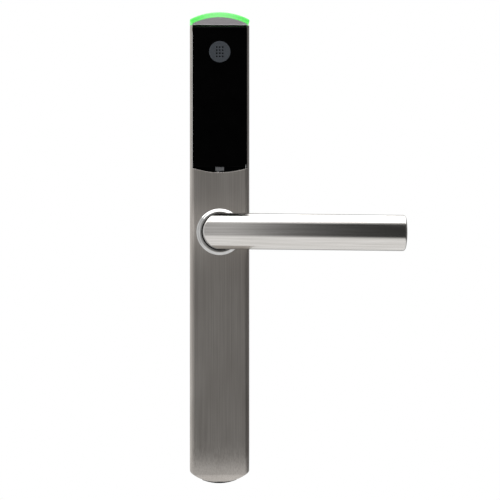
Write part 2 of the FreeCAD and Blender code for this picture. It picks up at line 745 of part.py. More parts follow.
def board_components():
    front = "dims.board_plane"
    chips = [(-8, 3, -50, -39, 1.2), (5, 12, -46, -38, 1.0), (-12, -6, -64, -56, 1.0), (-2, 10, -72, -58, 1.6)]
    parts = [block(str(x0), str(x1), "%s - %s" % (front, tall), front, str(z0), str(z1))
             for x0, x1, z0, z1, tall in chips]
    for x in (-11, -6.5):
        parts.append(round_bar("2", "Y", str(x), front + " - 3.6", "-76", "3.6"))
    parts.append(block("2", "13", front + " - 3", front, "-81.5", "-76.5"))
    back = front + " + dims.board_thick"
    for x0, x1 in (("-12.4", "-9"), ("9", "12.4")):
        parts.append(block(x0, x1, back, back + " + 4.6", "dims.lead_socket - 1.5", "dims.lead_socket + 1.4"))
    keep(group(parts), "board_components")


def board_standoffs():
    posts = []
    for x, z in BOARD_SCREWS:
        length = BACK_FACE + " - dims.board_plane - dims.board_thick"
        outer = round_bar("2.4", "Y", str(x), "dims.board_plane + dims.board_thick", str(z), length)
        posts.append(cut(outer, round_bar("1.1", "Y", str(x), "dims.board_plane + dims.board_thick",
                                          str(z), length)))
    keep(group(posts), "board_standoffs")


def board_screws():
    screws = []
    for x, z in BOARD_SCREWS:
        head = round_bar("2.2", "Y", str(x), "dims.board_plane - 1.3", str(z), "1.3")
        shank = round_bar("1.05", "Y", str(x), "dims.board_plane", str(z), "7")
        screws.append(fuse([head, shank]))
    keep(group(screws), "board_screws")


def battery_lead(side):
    """One wire from the battery tray, down beside the bearing and round to its socket on the board."""
    body = new_body("battery_lead")
    straight_end = value("dims.lead_socket + dims.lead_bend")
    x = side * value("dims.lead_side")
    inner = side * value("dims.lead_side - dims.lead_bend")
    path = sketch_on(body, "lead_path", "XZ_Plane", "dims.lead_plane")
    path.addGeometry(Part.LineSegment(Vector(x, value("dims.tray_bottom"), 0), Vector(x, straight_end, 0)))
    shift = value("dims.lead_bend") * math.sqrt(0.5)
    middle = Vector(inner + side * shift, straight_end - shift, 0)
    ends = [Vector(x, straight_end, 0), Vector(inner, value("dims.lead_socket"), 0)]
    path.addGeometry(Part.Arc(ends[1], middle, ends[0]) if side > 0 else Part.Arc(ends[0], middle, ends[1]))
    section = ring_outline(sketch_on(body, "lead_section", "XY_Plane", "dims.tray_bottom"),
                           "dims.lead_radius", "%d * dims.lead_side" % side, "-dims.lead_plane")
    pipe = body.newObject("PartDesign::AdditivePipe", "lead")
    pipe.Profile = section
    pipe.Spine = path
    doc.recompute()
    return body


def battery_leads():
    keep(group([battery_lead(-1), battery_lead(1)]), "battery_leads")


def light_carrier():
    """Black plastic frame between the shell's side walls, under the light guide; it holds the lights."""
    low = "dims.carrier_low"
    high = "dims.lens_base - 0.1"
    frame = cut(block("-dims.inner_half + 0.1", "dims.inner_half - 0.1", "-15.9", "-1.5", low, high),
                block("-15.6", "15.6", "-15.5", "-3.4", low + " - 1", high + " + 1"))
    keep(frame, "light_carrier")


def led_board():
    keep(block("-15", "15", "-15", "-4", "130.2", "131.2"), "led_board")


def status_leds():
    keep(group([block("%g" % (x - 1.6), "%g" % (x + 1.6), "-11.4", "-8.6", "131.2", "132.1")
                for x in (-11, -3.7, 3.7, 11)]), "status_leds")


def battery_tray():
    """Open tray: a back sheet, two end walls, two side walls and two ribs between the cells."""
    back = block("-17", "17", "-4", "-3.1", "dims.tray_bottom", "109")
    low = block("-17", "17", "-14.5", "-3.5", "dims.tray_bottom", "dims.tray_bottom + 1.4")
    high = block("-17", "17", "-14.5", "-3.5", "107.4", "109")
    sides = [block(x0, x1, "-12", "-3.5", "57.5", "108.5") for x0, x1 in (("-17", "-16.3"), ("16.3", "17"))]
    ribs = [block("%g" % (x - 0.4), "%g" % (x + 0.4), "-6", "-3.5", "58", "108") for x in (-5.45, 5.45)]
    keep(fuse([back, low, high] + sides + ribs), "battery_tray")


def battery(number):
    """A dry cell turned from its profile: sleeve, shoulder and nub."""
    label = "battery_%d" % number
    body = turned(label, "XZ_Plane", [
        ("0", "0"),
        ("4", "0"),
        ("4", "0.25"),
        ("dims.cell_radius - 0.5", "0.25", "0.5"),
        ("dims.cell_radius", "0.75"),
        ("dims.cell_radius", "dims.cell_length - 1.5", "0.5"),
        ("dims.cell_radius - 0.5", "dims.cell_length - 1"),
        ("1.9", "dims.cell_length - 1"),
        ("1.9", "dims.cell_length"),
        ("0", "dims.cell_length")])
    place(body, "(%d - 2) * dims.cell_pitch" % number, "dims.cell_plane", "dims.cell_bottom")
    keep(body, label)


def contact_springs():
    """Coiled contacts under the three cells."""
    coils = []
    for number in (-1, 0, 1):
        coil = coil_spring("contact_spring", "XZ_Plane", "dims.contact_wire", "3", "0", 1.15, 2)
        coils.append(place(coil, "%d * dims.cell_pitch" % number, "dims.cell_plane", "dims.cell_bottom - 2.7"))
    keep(group(coils), "contact_springs")


def contact_plates():
    top = "dims.cell_bottom + dims.cell_length + 0.05"
    plates = []
    for number in (-1, 0, 1):
        middle = "%d * dims.cell_pitch" % number
        plates.append(block(middle + " - 4", middle + " + 4", "dims.cell_plane - 4", "dims.cell_plane + 4",
                            top, top + " + 0.5"))
    keep(group(plates), "contact_plates")


def contact_block():
    """Spring pins that carry power and signals to the reader cover."""
    lump = block("-12", "-4.4", "-13.6", "-3.1", "47", "52.5")
    pins = [round_bar("0.4", "Y", "%g" % (-11 + 1.4 * i), "-15.9", "49.8", "2.4") for i in range(5)]
    keep(fuse([lump] + pins), "contact_block")


# ---------------------------------------------------------------- reader cover

WINDOW_FRONT = "0.1 - dims.plate_depth"
WINDOW_BACK = "0.1 - dims.plate_depth + dims.window_thick"
CARRIER_BACK = WINDOW_BACK + " + 1.5"


def reader_window():
    """Black glossy window with a shallow recess for the touch icon."""
    body = new_body("reader_window")
    pane = sketch_on(body, "pane", "XZ_Plane", "-(%s)" % WINDOW_BACK)
    r = "dims.window_corner"
    outline(pane, [
        ("-dims.window_half + " + r, "dims.window_bottom"),
        ("dims.window_half - " + r, "dims.window_bottom", r),
        ("dims.window_half", "dims.window_bottom + " + r),
        ("dims.window_half", "dims.window_top"),
        ("-dims.window_half", "dims.window_top"),
        ("-dims.window_half", "dims.window_bottom + " + r, r)])
    pad(body, pane, "dims.window_thick")
    front = value(WINDOW_FRONT)
    top = value("dims.window_top")

    def at_front(edge):
        return abs(edge.CenterOfMass.y - front) < 1e-3

    round_edges(body, "0.8", lambda e: at_front(e) and abs(e.CenterOfMass.z - top) < 1e-3)
    round_edges(body, "0.4", lambda e: at_front(e) and e.CenterOfMass.z < top - 3)
    recess = sketch_on(body, "icon_recess", "XZ_Plane", "-(%s) - dims.icon_deep" % WINDOW_FRONT)
    ring_outline(recess, "dims.icon_radius + 0.05", "0", "dims.icon_height")
    pocket(body, recess, "1")
    keep(body, "reader_window")


def touch_icon():
    """Grey disc with twelve round windows in a keypad's 3 by 4 grid."""
    body = new_body("touch_icon")
    disc = sketch_on(body, "disc", "XZ_Plane", "-(%s) - dims.icon_deep" % WINDOW_FRONT)
    ring_outline(disc, "dims.icon_radius", "0", "dims.icon_height")
    pad(body, disc, "dims.icon_deep")
    dots = sketch_on(body, "dots", "XZ_Plane")
    for column in (-1, 0, 1):
        for row in (-1.5, -0.5, 0.5, 1.5):
            ring_outline(dots, "dims.dot_radius", "%d * dims.dot_across" % column,
                         "dims.icon_height + %g * dims.dot_down" % row)
    pocket(body, dots)
    keep(body, "touch_icon")


def cover_frame():
    """Black carrier behind the window, with pivot stubs above and a latch guide below."""
    body = new_body("cover_frame")
    frame = sketch_on(body, "carrier", "XZ_Plane", "-(%s)" % CARRIER_BACK)
    box_outline(frame, "-dims.window_half + 0.3", "dims.window_half - 0.3", "dims.window_bottom + 1.2",
                "dims.window_top - 0.4")
    pad(body, frame, "1.5")
    lower = sketch_on(body, "lower_corners", "XZ_Plane")
    for side in (-1, 1):
        edge = "%d * (dims.window_half + 1)" % side
        inner = "%d * (dims.window_half - 4)" % side
        outline(lower, [(edge, "dims.window_bottom"), (inner, "dims.window_bottom"),
                        (edge, "dims.window_bottom + 6")])
    pocket(body, lower)
    middle = sketch_on(body, "board_room", "XZ_Plane")
    box_outline(middle, "-14.6", "14.6", "50.5", "126.5")
    pocket(body, middle)
    notch = sketch_on(body, "latch_notch", "XZ_Plane")
    box_outline(notch, "-3.1", "3.1", "dims.window_bottom", "47.2")
    pocket(body, notch)
    lips = sketch_on(body, "latch_lips", "XZ_Plane", "-(%s) - 1.5" % CARRIER_BACK)
    for side in (-1, 1):
        box_outline(lips, "%g" % min(side * 3.0, side * 4.2), "%g" % max(side * 3.0, side * 4.2),
                    "44.5", "50.5")
    pad(body, lips, "1.6")
    seat = sketch_on(body, "spring_seat", "XZ_Plane", "-(%s) - 1.8" % CARRIER_BACK)
    box_outline(seat, "-14.8", "14.8", "58.4", "60")
    pad(body, seat, "1.9")
    stubs = sketch_on(body, "pivot_stubs", "YZ_Plane")
    ring_outline(stubs, "0.8", "dims.cover_axis_y", "dims.cover_axis_z")
    pad(body, stubs, "dims.inner_half * 2 + 1.6", midplane=True)
    keep(body, "cover_frame")


def keypad_board():
    start = WINDOW_BACK + " + 0.02"
    keep(block("-14.3", "14.3", start, WINDOW_BACK + " + 0.82", "50.8", "126.2"), "keypad_board")


def antenna_coil():
    """Three flat copper turns round the keypad board."""
    start = WINDOW_BACK + " + 0.84"
    turns = []
    for turn in range(3):
        out = 13.4 - 1.2 * turn
        whole = block("%g" % -out, "%g" % out, start, start + " + 0.15",
                      "%g" % (124.8 - 2 * out), "124.8 - %g" % (1.2 * turn))
        hole = block("%g" % (0.7 - out), "%g" % (out - 0.7), start + " - 1", start + " + 1",
                     "%g" % (125.5 - 2 * out), "124.1 - %g" % (1.2 * turn))
        turns.append(cut(whole, hole))
    keep(group(turns), "antenna_coil")


def release_latch():
    """Sprung slide with the square tab that shows in the scoop under the window."""
    back = CARRIER_BACK + " + 0.1"
    blade = block("-2.75", "2.75", back, back + " + 1", "39", "52")
    tab = block("-2.75", "2.75", WINDOW_BACK + " + 0.2", back + " + 0.5", "39", "43.5")
    keep(softened(fuse([blade, tab]), 0.25, lambda e: e.CenterOfMass.z < 39.1), "release_latch")


def latch_spring():
    """Small coil that pushes the latch down."""
    coil = coil_spring("latch_spring", "XZ_Plane", "dims.latch_wire", "0.8", "0", 1.15, 5)
    keep(place(coil, "0", CARRIER_BACK + " + 0.6", "52.3"), "latch_spring")


# ---------------------------------------------------------------- build, check and write

def check_document():
    doc.recompute()
    faults = [thing.Name for thing in doc.Objects if {"Invalid", "Error"} & set(thing.State)]
    for piece in pieces:
        if piece.Shape.isNull() or not piece.Shape.isValid() or not piece.Shape.Solids:
            faults.append(piece.Label)
    if faults:
        raise RuntimeError("these failed: " + ", ".join(faults))


def write_pieces():
    os.makedirs("parts", exist_ok=True)
    for piece in pieces:
        piece.Shape.exportStep("parts/%s.step" % piece.Label)
        print("%-20s %d solids %9.1f mm3" % (piece.Label, len(piece.Shape.Solids), piece.Shape.Volume))


fill_sheet()
front_shell()
top_cap()
status_light_guide()
bottom_plug()
shell_screw()
backplate()
door_gasket()
mounting_posts()
bearing_housing()
housing_screws()
rose_ring()
bearing_bush()
return_spring()
drive_hub()
hub_circlip()
lever_handle()
lever_grub_screw()
spindle_hub()
square_spindle()
clutch_pin()
clutch_slider()
lead_screw()
clutch_motor()
motor_cradle()
control_board()
board_components()
board_standoffs()
board_screws()
battery_leads()
light_carrier()
led_board()
status_leds()
battery_tray()
for cell in (1, 2, 3):
    battery(cell)
contact_springs()
contact_plates()
contact_block()
reader_window()
touch_icon()
cover_frame()
keypad_board()
antenna_coil()
release_latch()
latch_spring()
check_document()
write_pieces()
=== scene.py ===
# %% [markdown]
# # A keypad smart lock for a door
# The imported model is a fixed frame: each of its nodes keeps its place and gets a finish here. The
# lever and the ring round its neck are modelled again at the same sizes, because a mesh made for the
# eye can have softer edges than one made for measuring.

# %% Load the frame
import math

import bpy
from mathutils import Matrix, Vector


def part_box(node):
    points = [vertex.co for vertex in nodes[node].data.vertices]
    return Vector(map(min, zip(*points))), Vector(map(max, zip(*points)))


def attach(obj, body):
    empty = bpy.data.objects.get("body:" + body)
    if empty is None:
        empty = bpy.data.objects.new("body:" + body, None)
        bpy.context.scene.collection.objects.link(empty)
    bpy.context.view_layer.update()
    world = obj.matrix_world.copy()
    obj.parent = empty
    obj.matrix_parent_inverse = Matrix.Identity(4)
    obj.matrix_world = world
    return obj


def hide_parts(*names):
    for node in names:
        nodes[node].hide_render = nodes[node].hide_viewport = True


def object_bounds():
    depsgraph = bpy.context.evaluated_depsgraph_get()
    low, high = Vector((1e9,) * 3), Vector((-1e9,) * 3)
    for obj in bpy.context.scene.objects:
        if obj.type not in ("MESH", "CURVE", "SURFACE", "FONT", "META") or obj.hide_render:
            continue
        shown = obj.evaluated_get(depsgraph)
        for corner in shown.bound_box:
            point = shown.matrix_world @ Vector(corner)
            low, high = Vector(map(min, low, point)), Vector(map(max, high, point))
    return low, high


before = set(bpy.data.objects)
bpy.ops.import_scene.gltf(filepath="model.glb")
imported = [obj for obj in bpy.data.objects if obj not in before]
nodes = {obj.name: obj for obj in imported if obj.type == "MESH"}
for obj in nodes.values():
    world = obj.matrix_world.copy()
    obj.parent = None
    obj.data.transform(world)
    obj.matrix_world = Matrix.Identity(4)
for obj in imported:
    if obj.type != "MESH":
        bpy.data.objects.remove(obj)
cad_low, cad_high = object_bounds()
MM = 0.001
print("frame:", len(nodes), "nodes, box", [round(s / MM, 1) for s in cad_high - cad_low], "mm")

# %% [markdown]
# ## Camera
# A camera has a sensor, a lens and a place. A long lens keeps the plate's sides parallel, so it
# stands a metre away with about 113 mm of lens on a 36 mm sensor. It stands a little to the left of
# the plate, just below the lever, and turns slightly to the right, so the lever fits in the frame.

# %% Camera
PICTURE_SIDE = 500
LENS_IN_PICTURE_UNITS = 1567
SENSOR = 36
CAMERA_AWAY = 1.0
CAMERA_LEFT = 24 * MM
CAMERA_BELOW = 11.55 * MM
CAMERA_TURN = math.radians(2.48)
plate_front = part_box("front_shell")[0].y

lens = bpy.data.cameras.new("camera")
lens.sensor_width = SENSOR
lens.lens = SENSOR * LENS_IN_PICTURE_UNITS / PICTURE_SIDE
lens.clip_start = 0.01
camera = bpy.data.objects.new("camera", lens)
camera.location = (-CAMERA_LEFT, plate_front - CAMERA_AWAY, -CAMERA_BELOW)
camera.rotation_euler = (math.pi / 2, 0, -CAMERA_TURN)
bpy.context.scene.collection.objects.link(camera)
bpy.context.scene.camera = camera
bpy.context.scene.view_settings.view_transform = "Standard"
print("lens", round(lens.lens, 1), "mm at", tuple(round(c, 3) for c in camera.location))

# %% [markdown]
# ## Two small helpers
# Colours are written as the sRGB hex values of any colour picker, and one function turns them into
# the linear light that a shader works in. Another adds a node, with its settings and whatever feeds
# its inputs, so that a finish reads as a short list.

# %% Colour and node helpers
def linear(hex_colour):
    """sRGB hex, such as "c0c0c0", as linear red, green, blue and alpha."""
    parts = [int(hex_colour[i:i + 2], 16) / 255 for i in (0, 2, 4)]
    return [c / 12.92 if c <= 0.04045 else ((c + 0.055) / 1.055) ** 2.4 for c in parts] + [1]


def add(tree, kind, settings=None, **feeds):
    """Add a node. Each feed is a value, or the output that drives the input of that name."""
    made = tree.nodes.new(kind)
    for name, setting in (settings or {}).items():
        setattr(made, name, setting)
    for name, feed in feeds.items():
        socket = made.inputs[int(name[2:]) if name.startswith("in") else name.replace("_", " ")]
        if isinstance(feed, bpy.types.NodeSocket):
            tree.links.new(feed, socket)
        else:
            socket.default_value = feed
    return made


# %% [markdown]
# ## The studio
# Polished metal has no look of its own: it shows the room. A round bar under a wide soft box is
# white above, pale below, where the floor throws light back, and between them it shows whatever
# stands in front. So the room is drawn as a ring of brightness round the object: bright on the left,
# where a white wall would stand, fading across the front, and dark on the right. The front has marks
# of its own, closer together, because the lever's whole length shows only those few degrees. The
# camera itself sees plain white behind the object.

# %% World: brightness by direction
STUDIO_RING = [(-180, 0.45), (-150, 0.80), (-105, 1.00), (-86, 0.95), (-57, 0.52), (-31, 0.46),
               (-16, 0.52), (16, 0.042), (60, 0.10), (95, 0.19), (130, 0.45), (180, 0.45)]
FRONT_STRIP = [(-16, 0.52), (-12, 0.58), (-9, 0.50), (-7, 0.38), (-4, 0.26), (0, 0.165), (4, 0.115),
               (9, 0.072), (16, 0.042)]
LIGHT_ABOVE = 1.3
LIGHT_BELOW = 0.97
FRONT_HALF = math.radians(FRONT_STRIP[-1][0])
CEILING_FROM, CEILING_FULL = 0.80, 0.95
GROUND_FROM, GROUND_FULL = -0.45, -0.66


def ring_of_light(tree, turn, marks):
    """Brightness over the directions round the object, from (degrees, brightness) pairs."""
    first, last = marks[0][0], marks[-1][0]
    along = add(tree, "ShaderNodeMapRange", Value=turn, From_Min=math.radians(first),
                From_Max=math.radians(last))
    ramp = add(tree, "ShaderNodeValToRGB", Fac=along.outputs["Result"])
    stops = ramp.color_ramp.elements
    while len(stops) < len(marks):
        stops.new(0.5)
    for stop, (degrees, light) in zip(stops, marks):
        stop.position = (degrees - first) / (last - first)
        stop.color = (light, light, light, 1)
    return ramp.outputs["Color"]


world = bpy.data.worlds.new("studio")
bpy.context.scene.world = world
world.use_nodes = True
sky = world.node_tree
sky.nodes.clear()
way = add(sky, "ShaderNodeTexCoord").outputs["Generated"]
axes = add(sky, "ShaderNodeSeparateXYZ", Vector=way).outputs
towards = add(sky, "ShaderNodeMath", {"operation": "MULTIPLY"}, in0=axes["Y"], in1=-1.0).outputs[0]
turn = add(sky, "ShaderNodeMath", {"operation": "ARCTAN2"}, in0=axes["X"], in1=towards).outputs[0]
in_front = add(sky, "ShaderNodeMath", {"operation": "COMPARE"}, in0=turn, in1=0.0, in2=FRONT_HALF)
room = add(sky, "ShaderNodeMix", {"data_type": "RGBA"}, Factor=in_front.outputs[0],
           A=ring_of_light(sky, turn, STUDIO_RING), B=ring_of_light(sky, turn, FRONT_STRIP))
rising = add(sky, "ShaderNodeMapRange", Value=axes["Z"], From_Min=CEILING_FROM, From_Max=CEILING_FULL)
above = add(sky, "ShaderNodeMix", {"data_type": "RGBA"}, Factor=rising.outputs["Result"],
            A=room.outputs["Result"], B=(LIGHT_ABOVE, LIGHT_ABOVE, LIGHT_ABOVE, 1))
sinking = add(sky, "ShaderNodeMapRange", Value=axes["Z"], From_Min=GROUND_FROM, From_Max=GROUND_FULL)
studio = add(sky, "ShaderNodeMix", {"data_type": "RGBA"}, Factor=sinking.outputs["Result"],
             A=above.outputs["Result"], B=(LIGHT_BELOW, LIGHT_BELOW, LIGHT_BELOW, 1))
lit = add(sky, "ShaderNodeBackground", Color=studio.outputs["Result"])
plain = add(sky, "ShaderNodeBackground", Color=(1, 1, 1, 1))
seen = add(sky, "ShaderNodeLightPath").outputs["Is Camera Ray"]
either = add(sky, "ShaderNodeMixShader", Fac=seen, in1=lit.outputs[0], in2=plain.outputs[0])
add(sky, "ShaderNodeOutputWorld", Surface=either.outputs[0])
print("studio ring:", len(STUDIO_RING) + len(FRONT_STRIP), "marks")

# %% [markdown]
# ## Lamps
# A soft box is a lamp behind a wide sheet of cloth. Hung overhead and a little behind, it lights
# the tops of round parts and keeps shadows faint. A bare lamp would leave hard white dots on them.

# %% Soft box overhead
SOFT_BOX_POWER = 46
SOFT_BOX = (3.0, 2.44)
SOFT_BOX_PLACE = (0, 0.68, 1.3)

box_light = bpy.data.lights.new("soft_box", "AREA")
box_light.shape = "RECTANGLE"
box_light.size, box_light.size_y = SOFT_BOX
box_light.energy = SOFT_BOX_POWER
soft_box = bpy.data.objects.new("soft_box", box_light)
soft_box.location = SOFT_BOX_PLACE
soft_box.visible_camera = False
bpy.context.scene.collection.objects.link(soft_box)
print("soft box of", SOFT_BOX_POWER, "W")

# %% [markdown]
# A second, very small lamp stands close on the left, level with the lever, and its narrow cone falls
# beside the collar. Brushed steel stretches its reflection sideways into a soft glow there. It is
# there for that one highlight, and the soft box alone is the plain light.

# %% Lamp beside the collar
GLOW_POWER = 0.12
GLOW_CONE = 9
GLOW_RADIUS = 10 * MM
GLOW_PLACE = Vector((-130, -200, 16)) * MM
GLOW_TARGET = Vector((-15 * MM, plate_front, 4 * MM))

glow_light = bpy.data.lights.new("collar_lamp", "SPOT")
glow_light.energy = GLOW_POWER
glow_light.spot_size = math.radians(GLOW_CONE)
glow_light.spot_blend = 1.0
glow_light.shadow_soft_size = GLOW_RADIUS
glow = bpy.data.objects.new("collar_lamp", glow_light)
glow.location = GLOW_PLACE
glow.rotation_euler = (GLOW_TARGET - GLOW_PLACE).to_track_quat("-Z", "Y").to_euler()
glow.visible_camera = False
bpy.context.scene.collection.objects.link(glow)
print("lamp beside the collar at", tuple(round(c / MM) for c in GLOW_PLACE), "mm")

# %% [markdown]
# ## Patterns and finishes
# Every finish has one shader, and patterns that read the object's own coordinates, in metres. A
# pattern is a noise stretched to the real size of its grains on each axis. `dress` lets a pattern
# move the colour, the roughness and the relief together, because on a real surface one scratch
# changes all three.

# %% Finish helpers
def new_finish(name, base, metallic, roughness, **more):
    """A new material with one shader: its tree, its shader and the object's own coordinates."""
    made = bpy.data.materials.new(name)
    made.use_nodes = True
    tree = made.node_tree
    tree.nodes.clear()
    shader = add(tree, "ShaderNodeBsdfPrincipled", Base_Color=linear(base), Metallic=metallic,
                 Roughness=roughness, **more)
    add(tree, "ShaderNodeOutputMaterial", Surface=shader.outputs[0])
    return made, tree, shader, add(tree, "ShaderNodeTexCoord").outputs["Object"]


def grain(tree, where, size, detail=4.0):
    """Noise with grains of size (x, y, z) in millimetres."""
    per_metre = [1 / (s * MM) for s in size]
    spread = add(tree, "ShaderNodeMapping", Vector=where, Scale=per_metre)
    return add(tree, "ShaderNodeTexNoise", Vector=spread.outputs["Vector"], Scale=1.0,
               Detail=detail).outputs["Fac"]


def dress(tree, shader, pattern, colours=None, roughness=None, depth=0.0):
    """Let a pattern move the colour between two shades, the roughness, and the relief in mm."""
    if colours:
        part = add(tree, "ShaderNodeMapRange", Value=pattern, From_Min=0.3, From_Max=0.7)
        mixed = add(tree, "ShaderNodeMix", {"data_type": "RGBA"}, Factor=part.outputs["Result"],
                    A=linear(colours[0]), B=linear(colours[1]))
        tree.links.new(mixed.outputs["Result"], shader.inputs["Base Color"])
    if roughness:
        part = add(tree, "ShaderNodeMapRange", Value=pattern, From_Min=0.3, From_Max=0.7,
                   To_Min=roughness[0], To_Max=roughness[1])
        tree.links.new(part.outputs["Result"], shader.inputs["Roughness"])
    if depth:
        bump = add(tree, "ShaderNodeBump", Height=pattern, Distance=depth * MM)
        tree.links.new(bump.outputs["Normal"], shader.inputs["Normal"])


def wear(finish, *names):
    """Give CAD nodes their finish."""
    for name in names:
        nodes[name].data.materials.clear()
        nodes[name].data.materials.append(finish)
    print(finish.name, "on", ", ".join(names))


# %% [markdown]
# ## Floor
# The floor is painted board, pale and matt. It is left out of reflections, because the pale light
# from below is already drawn in the room, and so it reaches the foot as evenly as the lever.

# %% Floor
FLOOR_BELOW = 0.29
FLOOR_FRONT = -1.6
FLOOR_BACK = 1.6
FLOOR_HALF = 2.4

paint, tree, shader, where = new_finish("pale_floor_paint", "e9e9e9", 0.0, 0.9)
dress(tree, shader, grain(tree, where, (90, 90, 90), 2), ("e7e7e7", "ececec"), depth=0.2)
bpy.ops.object.select_all(action="DESELECT")
bpy.ops.mesh.primitive_plane_add(size=1)
floor = bpy.context.object
floor.name = "floor"
floor.scale = (2 * FLOOR_HALF, FLOOR_BACK - FLOOR_FRONT, 1)
floor.location = (0, (FLOOR_FRONT + FLOOR_BACK) / 2, cad_low.z - FLOOR_BELOW)
bpy.ops.object.transform_apply(location=True, rotation=True, scale=True)
floor.data.materials.append(paint)
floor.visible_glossy = False
print("floor", round(FLOOR_BELOW / MM), "mm under the plate")

# %% [markdown]
# ## Brushed stainless steel
# The plate is 304 sheet drawn under a vertical belt. A belt leaves parallel scratches, so light
# spreads across them and hardly along them: the shader is anisotropic, with its tangent across the
# plate. Real scratches are about 0.05 mm apart, too fine to show, so the lines are drawn at 0.4 mm
# and the finer ones at 0.15 mm. A faint cloud is the uneven pressure of the belt.

# %% Brushed stainless plate
plate_steel, tree, shader, where = new_finish("brushed_304_stainless", "c4c0bc", 1.0, 0.47,
                                              Anisotropic=0.6)
scratches = grain(tree, where, (0.4, 0.4, 90), 6)
fine = grain(tree, where, (0.15, 0.15, 22), 3)
cloud = grain(tree, where, (16, 16, 45), 2)
both = add(tree, "ShaderNodeMath", {"operation": "MULTIPLY_ADD"}, in0=fine, in1=0.4, in2=scratches)
clouded = add(tree, "ShaderNodeMath", {"operation": "MULTIPLY_ADD"}, in0=cloud, in1=0.5, in2=both.outputs[0])
level = add(tree, "ShaderNodeMath", {"operation": "SUBTRACT"}, in0=clouded.outputs[0], in1=0.45)
dress(tree, shader, level.outputs[0], ("b2aca6", "cec9c3"))
dress(tree, shader, scratches, roughness=(0.43, 0.51), depth=0.004)
across = add(tree, "ShaderNodeTangent", {"direction_type": "RADIAL", "axis": "Z"})
tree.links.new(across.outputs[0], shader.inputs["Tangent"])
wear(plate_steel, "front_shell")

# %% [markdown]
# The lever is the same steel, brushed along the tube and then polished, which leaves a bright
# mirror with faint long lines. The lines are drawn 0.25 mm wide and some centimetres long.

# %% Polished stainless lever
lever_steel, tree, shader, where = new_finish("polished_stainless_tube", "d4d1cd", 1.0, 0.14)
lines = grain(tree, where, (60, 0.25, 0.25), 5)
dress(tree, shader, lines, ("c2bfba", "e2dfdc"), (0.10, 0.19), 0.003)

# %% [markdown]
# Decorative chrome is a mirror over nickel, and handling leaves a haze of fine marks. It is drawn
# greyer than clean chrome, so that the collar sits with the plate under this light.

# %% Chrome plate
chrome, tree, shader, where = new_finish("polished_chrome_plate", "c4c4c3", 1.0, 0.09)
haze = grain(tree, where, (2.5, 2.5, 2.5), 5)
dress(tree, shader, haze, ("bdbdbc", "cacac9"), (0.07, 0.12), 0.0008)
print("bright metals:", ", ".join(f.name for f in (plate_steel, lever_steel, chrome)))

# %% [markdown]
# ## Modelling helpers
# An edit works on what is selected, so `pick` selects vertices, edges or faces by their place.
# `turned` makes a round part as on a lathe: it starts from a circle and extrudes its edge from one
# point of the profile to the next, resizing it to each radius, until it meets itself again.

# %% Modelling helpers
def pick(shape, kind, test):
    """Select only the vertices, edges or faces whose every vertex passes the test."""
    bpy.ops.mesh.select_mode(type=kind)
    bpy.ops.mesh.select_all(action="DESELECT")
    bpy.ops.object.mode_set(mode="OBJECT")
    mesh = shape.data
    items = {"VERT": mesh.vertices, "EDGE": mesh.edges, "FACE": mesh.polygons}[kind]
    for item in items:
        corners = [item.index] if kind == "VERT" else item.vertices
        item.select = all(test(mesh.vertices[i].co) for i in corners)
    bpy.ops.object.mode_set(mode="EDIT")


def opened(name):
    """Name the new primitive, fix its place in its mesh and open it in edit mode, all selected."""
    shape = bpy.context.object
    shape.name = shape.data.name = name
    bpy.ops.object.transform_apply(location=True, rotation=True, scale=True)
    bpy.ops.object.mode_set(mode="EDIT")
    bpy.ops.mesh.select_all(action="SELECT")
    return shape


def closed(shape, finish, angle=30):
    """Merge doubles, turn the faces outwards, leave edit mode and give the finish."""
    bpy.ops.mesh.select_all(action="SELECT")
    bpy.ops.mesh.remove_doubles(threshold=0.002 * MM)
    bpy.ops.mesh.normals_make_consistent(inside=False)
    bpy.ops.object.mode_set(mode="OBJECT")
    bpy.ops.object.shade_smooth_by_angle(angle=math.radians(angle))
    shape.data.materials.append(finish)
    return shape


def join_frame(shape, body, slot, *replaced):
    """Let a piece ride on a body, in place of CAD nodes. The slot argument is not used."""
    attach(shape, body)
    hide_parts(*replaced)
    print(shape.name, "has", len(shape.data.polygons), "faces and rides on", body)


def turned(name, profile, finish, sides=128):
    """A closed ring about the spindle's axis from (radius, depth) pairs."""
    radius, depth = profile[0]
    bpy.ops.object.select_all(action="DESELECT")
    bpy.ops.mesh.primitive_circle_add(vertices=sides, radius=radius, location=(0, depth, 0),
                                      rotation=(math.pi / 2, 0, 0))
    shape = opened(name)
    for next_radius, next_depth in profile[1:] + profile[:1]:
        bpy.ops.mesh.extrude_edges_move(TRANSFORM_OT_translate={"value": (0, next_depth - depth, 0)})
        grow = next_radius / radius
        bpy.ops.transform.resize(value=(grow, 1, grow), center_override=(0, next_depth, 0))
        radius, depth = next_radius, next_depth
    return closed(shape, finish)


# %% [markdown]
# ## The lever
# The lever is one round tube: a short neck out of the plate, a mitred corner and a level grip with
# a closed, softly rounded end. A circle is extruded along the neck, cut on the slanting mitre plane
# and extruded again along the grip, so both legs share one ellipse at the corner. Two bevels soften
# the corner and the end, a Solidify modifier gives the wall, and a Boolean drills the grub screw's
# hole. The grip is drawn a fraction of a degree low. Without a window the rotate operator turns the
# other way, so the angle is given as a negative one.

# %% Lever
TUBE_SIDES = 128
END_ROUND = 1.6 * MM
MITRE_ROUND = 0.3 * MM
WALL = 1.5 * MM
GRUB_HOLE = 2.6 * MM
EDGE_ANGLE = 35
NEAR = 0.001 * MM
DROOP = math.radians(0.62)
lever_low, lever_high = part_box("lever_handle")
tube_radius = lever_high.z
grip_y = lever_low.y + tube_radius
reach = lever_high.x
grub_y = (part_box("lever_grub_screw")[0].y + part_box("lever_grub_screw")[1].y) / 2

